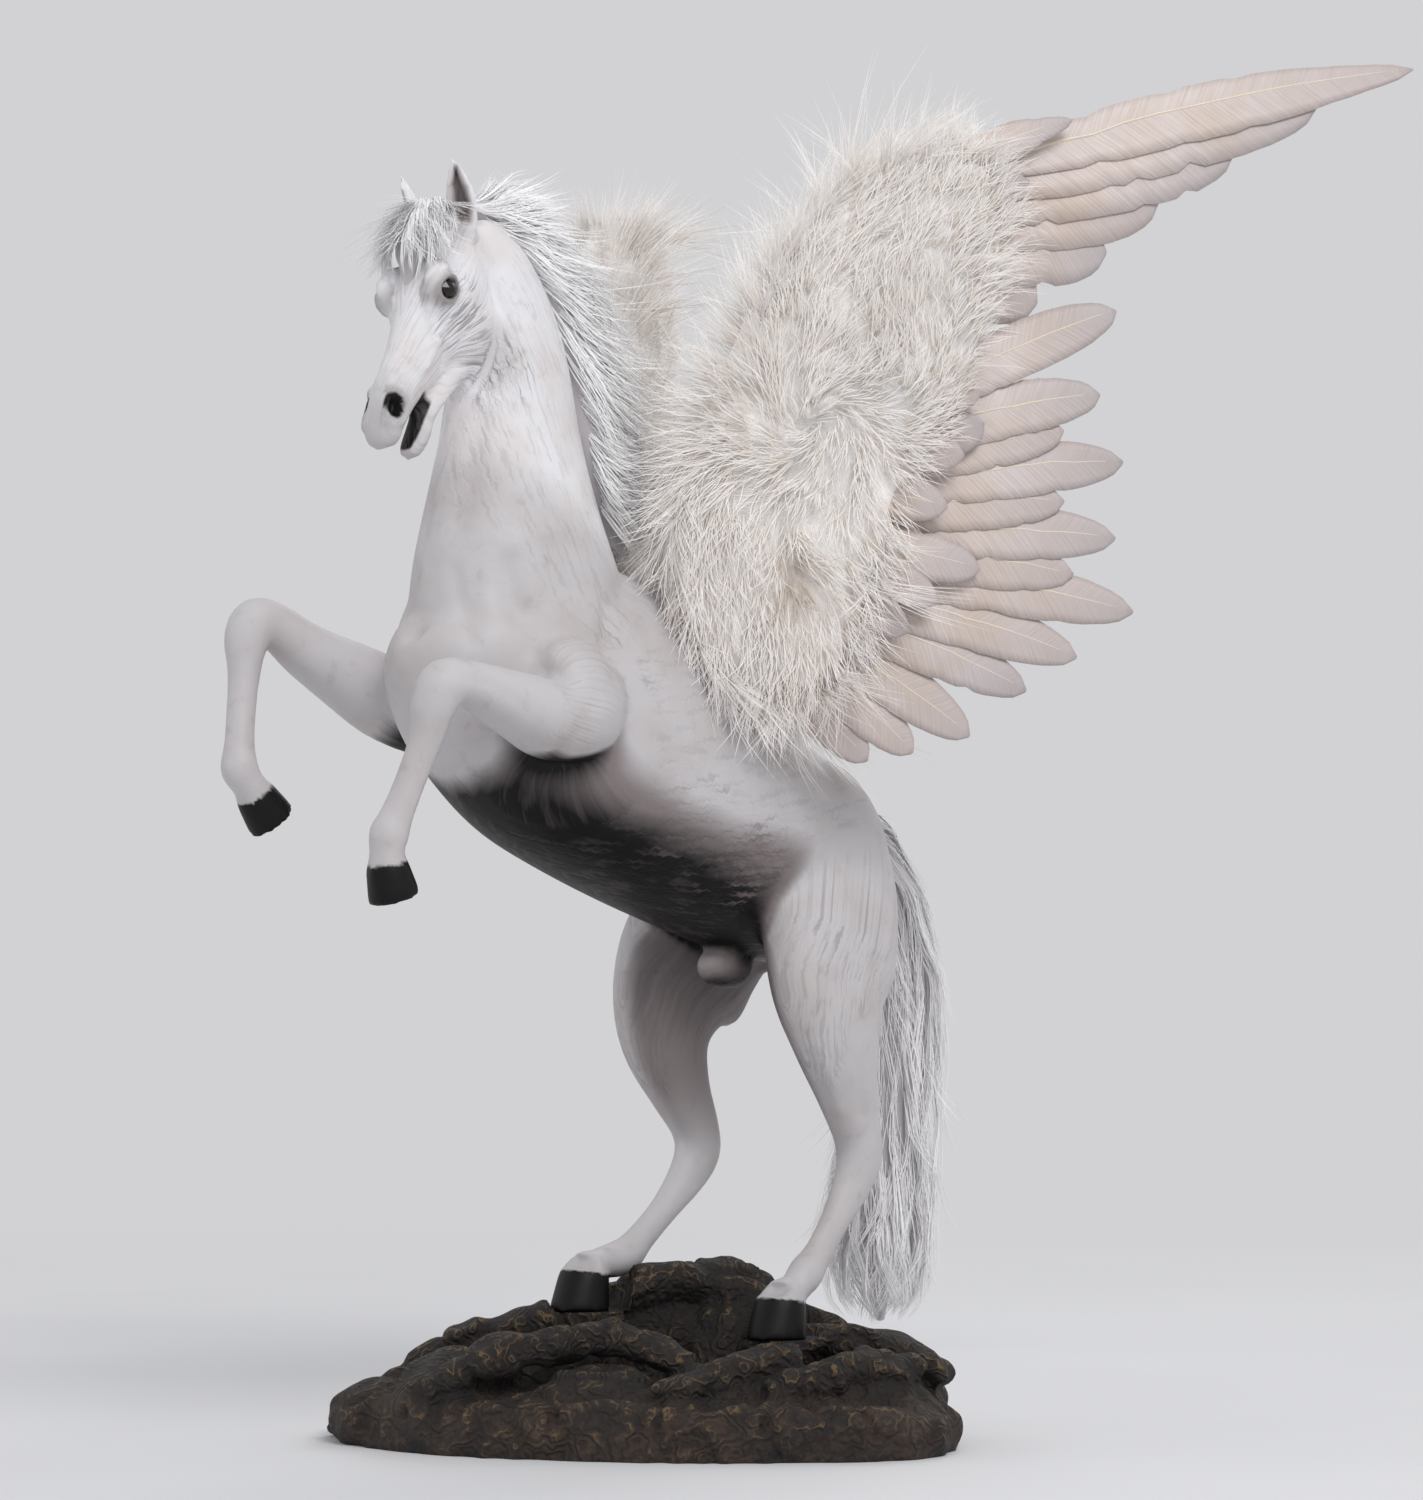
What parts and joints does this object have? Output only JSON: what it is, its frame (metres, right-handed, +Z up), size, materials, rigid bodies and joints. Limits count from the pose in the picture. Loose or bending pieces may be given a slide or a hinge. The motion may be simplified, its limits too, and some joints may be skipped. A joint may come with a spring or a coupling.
{
  "type": "winged horse statue",
  "caption": "Rearing white winged horse statue with raised feathered wings, fur mane and tail, standing on its hind hooves on a dark rock and root plinth.",
  "frame": {"origin": "on the plinth's flat underside, below the middle of the horse's trunk and in the horse's median plane", "axes": "+Z up, -Y the way the horse faces, +X towards the horse's left"},
  "size_m": [0.3852, 0.3543, 0.4888],
  "materials": {
    "bronzed_resin": "dark bronze dry-brushed over brown cast resin",
    "painted_resin": "satin airbrushed white over cast resin",
    "eye_glass": "polished black",
    "steel": "turned",
    "fur": "combed white fur",
    "wing_spar": "matt cast resin",
    "down": "loose white down",
    "feather": "natural feather, faint sheen"
  },
  "bodies": {
    "root": {"alula_left_01": "feather", "alula_right_01": "feather", "covert_left_01": "feather", "covert_left_02": "feather", "covert_right_01": "feather", "covert_right_02": "feather", "eye_left": "eye_glass", "eye_right": "eye_glass", "forelock": "fur", "hoof_pin_left": "steel", "hoof_pin_right": "steel", "horse_body": "painted_resin", "mane": "fur", "plinth": "bronzed_resin", "primary_left_01": "feather", "primary_left_02": "feather", "primary_left_03": "feather", "primary_left_04": "feather", "primary_left_05": "feather", "primary_left_06": "feather", "primary_right_01": "feather", "primary_right_02": "feather", "primary_right_03": "feather", "primary_right_04": "feather", "primary_right_05": "feather", "primary_right_06": "feather", "secondary_left_01": "feather", "secondary_left_02": "feather", "secondary_left_03": "feather", "secondary_left_04": "feather", "secondary_left_05": "feather", "secondary_left_06": "feather", "secondary_left_07": "feather", "secondary_left_08": "feather", "secondary_left_09": "feather", "secondary_left_10": "feather", "secondary_left_11": "feather", "secondary_left_12": "feather", "secondary_left_13": "feather", "secondary_right_01": "feather", "secondary_right_02": "feather", "secondary_right_03": "feather", "secondary_right_04": "feather", "secondary_right_05": "feather", "secondary_right_06": "feather", "secondary_right_07": "feather", "secondary_right_08": "feather", "secondary_right_09": "feather", "secondary_right_10": "feather", "secondary_right_11": "feather", "secondary_right_12": "feather", "secondary_right_13": "feather", "tail": "fur", "wing_core_left": "wing_spar", "wing_core_right": "wing_spar", "wing_down_back_left": "down", "wing_down_back_right": "down", "wing_down_front_left": "down", "wing_down_front_right": "down"}
  },
  "joints": []
}
